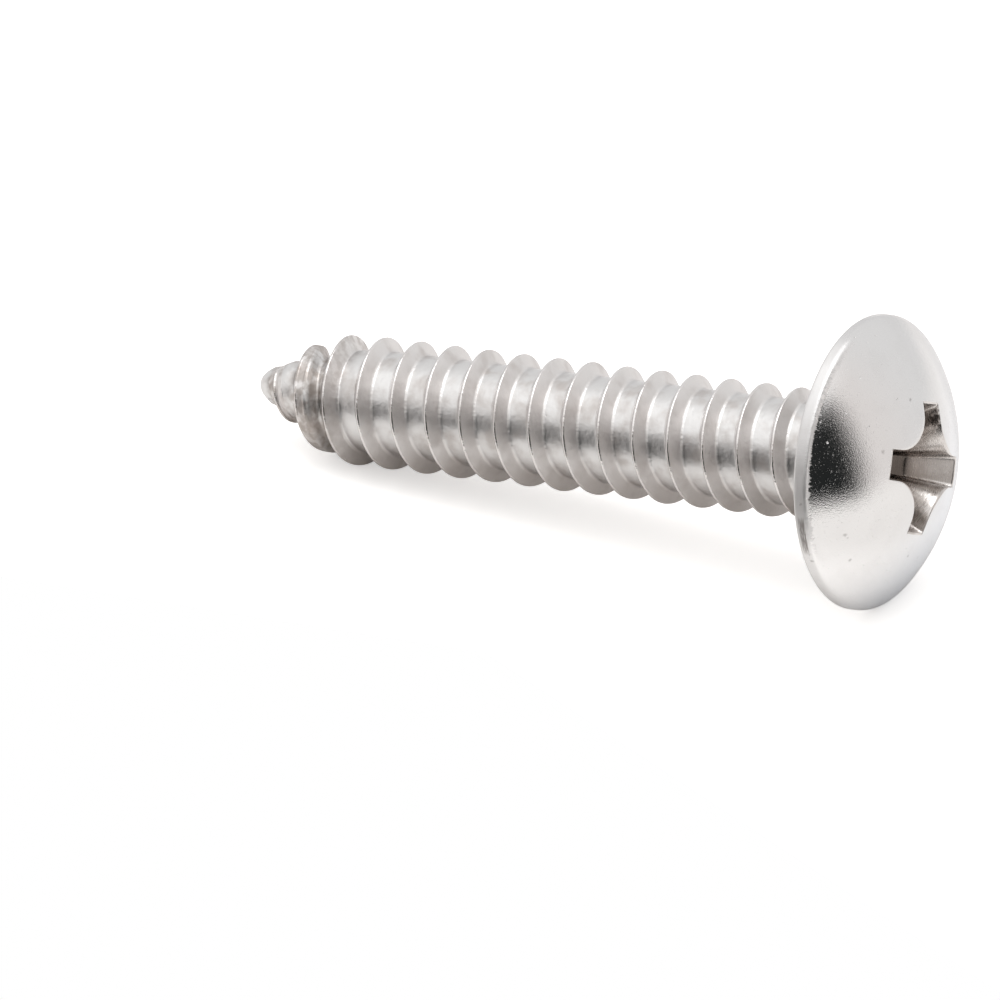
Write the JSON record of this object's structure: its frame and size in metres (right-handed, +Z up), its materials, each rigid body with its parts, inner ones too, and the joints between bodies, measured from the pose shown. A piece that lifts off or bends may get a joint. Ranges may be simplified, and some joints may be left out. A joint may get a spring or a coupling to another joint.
{
  "type": "truss head screw",
  "caption": "Self-tapping screw with a low, wide domed head, a cross recess, a spaced right-hand thread and a gimlet point.",
  "frame": {"origin": "on the floor, under the middle of the screw's box as it lies", "axes": "+Z up; the screw lies along X with its head towards +X and its point towards -X, on the rim of its head and one thread crest; +Y to the side"},
  "size_m": [0.035, 0.0134, 0.0133],
  "materials": {
    "steel": "bright as-rolled stainless steel"
  },
  "bodies": {
    "root": {"screw": "steel"}
  },
  "joints": []
}
